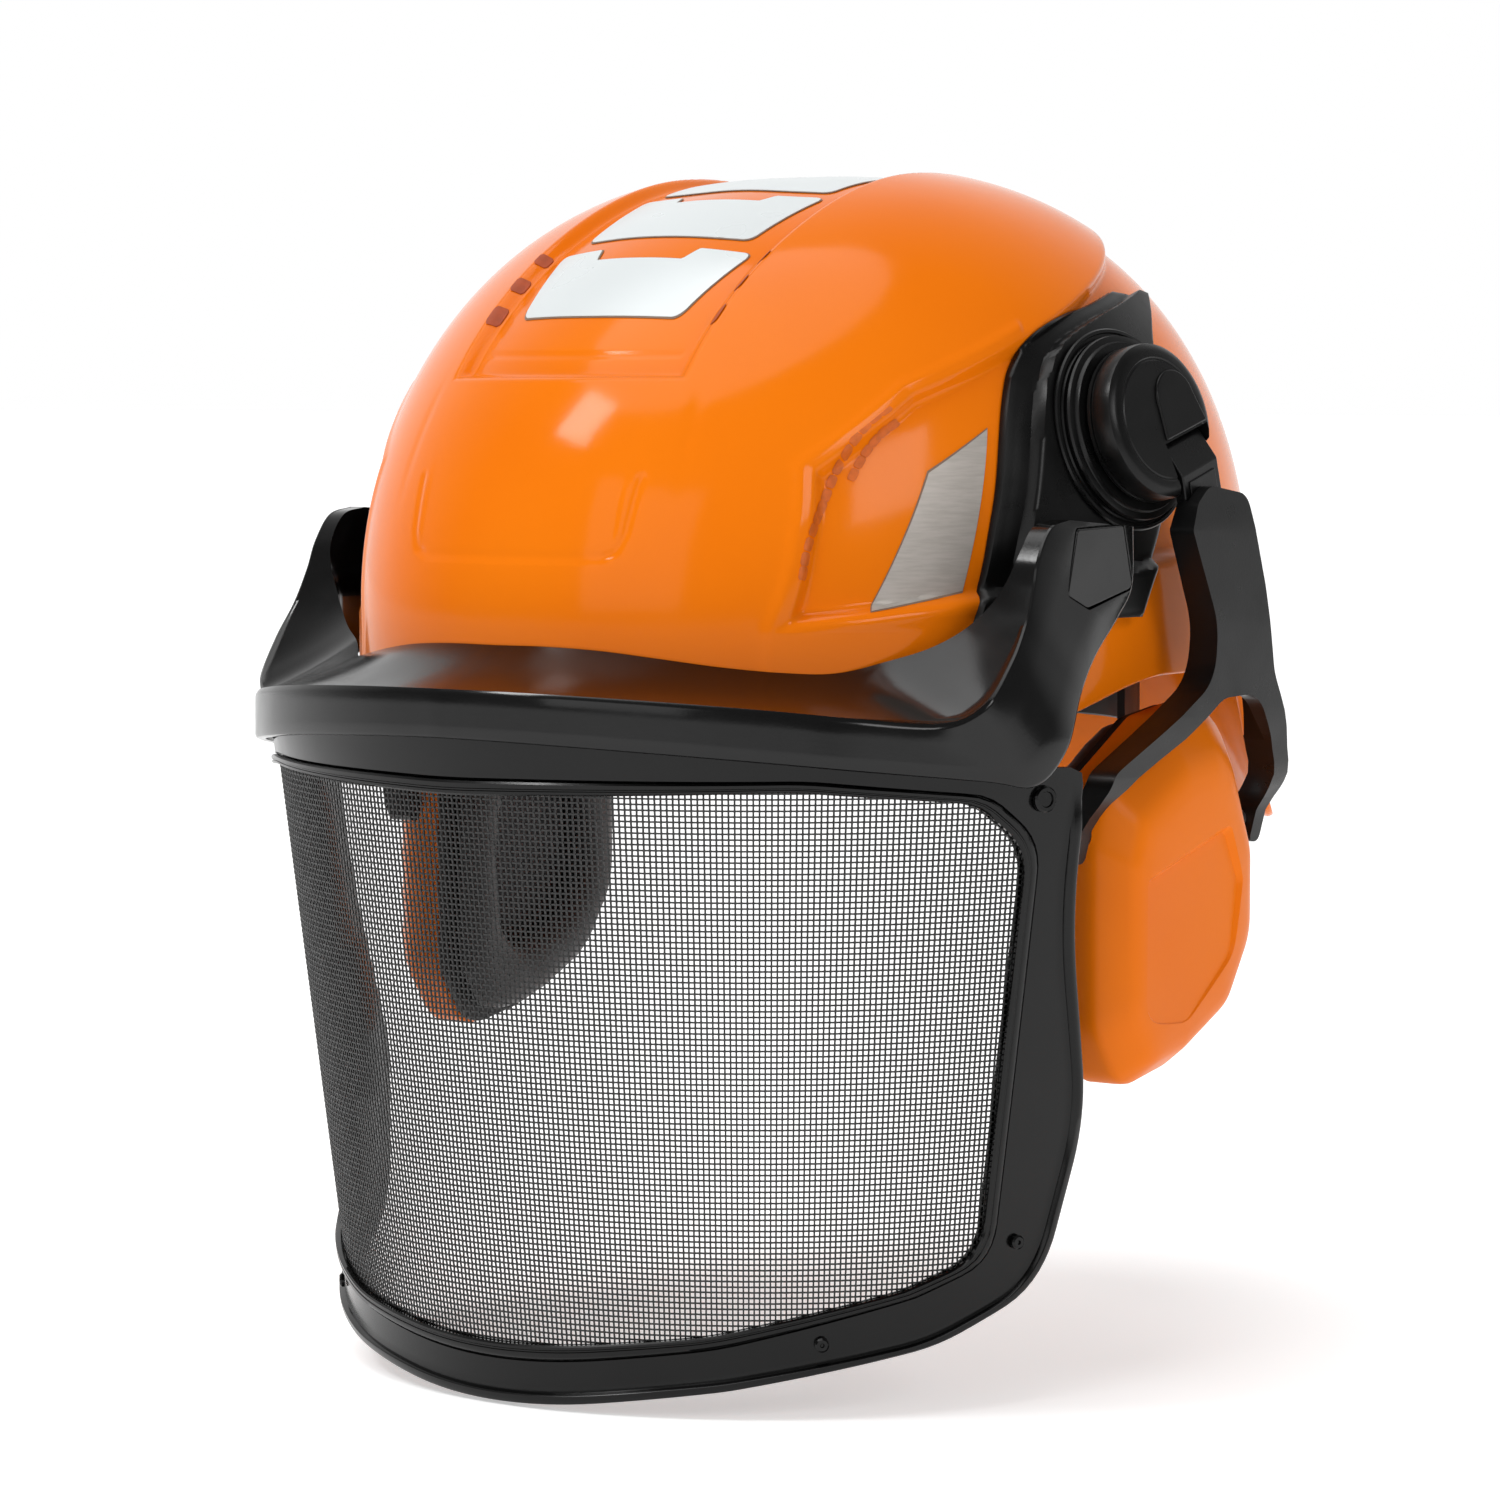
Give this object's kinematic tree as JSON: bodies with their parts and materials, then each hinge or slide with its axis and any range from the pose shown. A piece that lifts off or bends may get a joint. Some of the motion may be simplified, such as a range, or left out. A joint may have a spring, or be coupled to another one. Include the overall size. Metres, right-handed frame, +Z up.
{
  "type": "forestry helmet",
  "caption": "Child's forestry helmet: vented hard shell with brow peak, tilting mesh face visor and two swinging ear muffs on sliding yokes.",
  "frame": {"origin": "the helmet's middle plane, level with the front lower edge of the shell, over the middle of the wearer's head", "axes": "+Z up through the crown, -Y towards the face, +X towards the wearer's left"},
  "size_m": [0.2272, 0.2686, 0.2741],
  "materials": {
    "orange_plastic": "glossy moulded plastic",
    "black_plastic": "satin moulded plastic",
    "reflective_foil": "silver reflective foil",
    "steel": "plain steel pins",
    "mesh_wire": "black coated woven wire",
    "leatherette": "soft black leatherette over foam",
    "foam": "open-cell foam",
    "webbing": "flat woven webbing"
  },
  "bodies": {
    "helmet": {"shell": "orange_plastic", "top_sticker_front": "reflective_foil", "top_sticker_middle": "reflective_foil", "top_sticker_rear": "reflective_foil", "side_sticker_left": "reflective_foil", "side_sticker_right": "reflective_foil", "side_mount_left": "black_plastic", "side_mount_right": "black_plastic", "hub_base_left": "black_plastic", "hub_base_right": "black_plastic", "visor_pivot_left": "steel", "visor_pivot_right": "steel", "headband": "black_plastic", "brow_pad": "leatherette", "crown_strap_across": "webbing", "crown_strap_along": "webbing", "harness_clip_front_left": "black_plastic", "harness_clip_front_right": "black_plastic", "harness_clip_rear_left": "black_plastic", "harness_clip_rear_right": "black_plastic"},
    "nape": {"nape_strap": "black_plastic"},
    "visor": {"visor_peak": "black_plastic", "visor_frame": "black_plastic", "mesh_retainer": "black_plastic", "visor_mesh": "mesh_wire", "frame_peg_left": "black_plastic", "frame_peg_right": "black_plastic", "pivot_cap_left": "black_plastic", "pivot_cap_right": "black_plastic"},
    "hub_left": {"hub_disc_left": "black_plastic", "swing_pin_left": "steel"},
    "arm_left": {"muff_arm_left": "black_plastic"},
    "yoke_left": {"yoke_left": "black_plastic", "cup_pin_front_left": "steel", "cup_pin_rear_left": "steel"},
    "cup_left": {"cup_shell_left": "orange_plastic", "cup_plate_left": "black_plastic", "cushion_left": "leatherette", "foam_liner_left": "foam"},
    "hub_right": {"hub_disc_right": "black_plastic", "swing_pin_right": "steel"},
    "arm_right": {"muff_arm_right": "black_plastic"},
    "yoke_right": {"yoke_right": "black_plastic", "cup_pin_front_right": "steel", "cup_pin_rear_right": "steel"},
    "cup_right": {"cup_shell_right": "orange_plastic", "cup_plate_right": "black_plastic", "cushion_right": "leatherette", "foam_liner_right": "foam"}
  },
  "joints": [
    {"name": "visor_tilt", "type": "hinge", "parent": "helmet", "child": "visor", "pos_m": [0, -0.035, 0.013], "axis": [-1, 0, 0], "range_deg": [0, 70]},
    {"name": "nape_adjust", "type": "slide", "parent": "helmet", "child": "nape", "axis": [0, 1, 0], "range_m": [-0.008, 0.006]},
    {"name": "muff_swivel_left", "type": "hinge", "parent": "helmet", "child": "hub_left", "pos_m": [0.094, -0.0095, 0.0435], "axis": [0.9728, -0.1022, 0.2079], "range_deg": [0, 8]},
    {"name": "arm_swing_left", "type": "hinge", "parent": "hub_left", "child": "arm_left", "pos_m": [0.103, -0.002, 0.039], "axis": [0, -0.957, -0.29], "range_deg": [0, 30]},
    {"name": "yoke_slide_left", "type": "slide", "parent": "arm_left", "child": "yoke_left", "axis": [0, 0.29, -0.957], "range_m": [0, 0.014]},
    {"name": "cup_tilt_left", "type": "hinge", "parent": "yoke_left", "child": "cup_left", "pos_m": [0.097, 0, -0.047], "axis": [0, 1, 0], "range_deg": [-8, 8]},
    {"name": "muff_swivel_right", "type": "hinge", "parent": "helmet", "child": "hub_right", "pos_m": [-0.094, -0.0095, 0.0435], "axis": [0.9728, 0.1022, -0.2079], "range_deg": [0, 8]},
    {"name": "arm_swing_right", "type": "hinge", "parent": "hub_right", "child": "arm_right", "pos_m": [-0.103, -0.002, 0.039], "axis": [0, 0.957, 0.29], "range_deg": [0, 30]},
    {"name": "yoke_slide_right", "type": "slide", "parent": "arm_right", "child": "yoke_right", "axis": [0, 0.29, -0.957], "range_m": [0, 0.014]},
    {"name": "cup_tilt_right", "type": "hinge", "parent": "yoke_right", "child": "cup_right", "pos_m": [-0.097, 0, -0.047], "axis": [0, -1, 0], "range_deg": [-8, 8]}
  ]
}
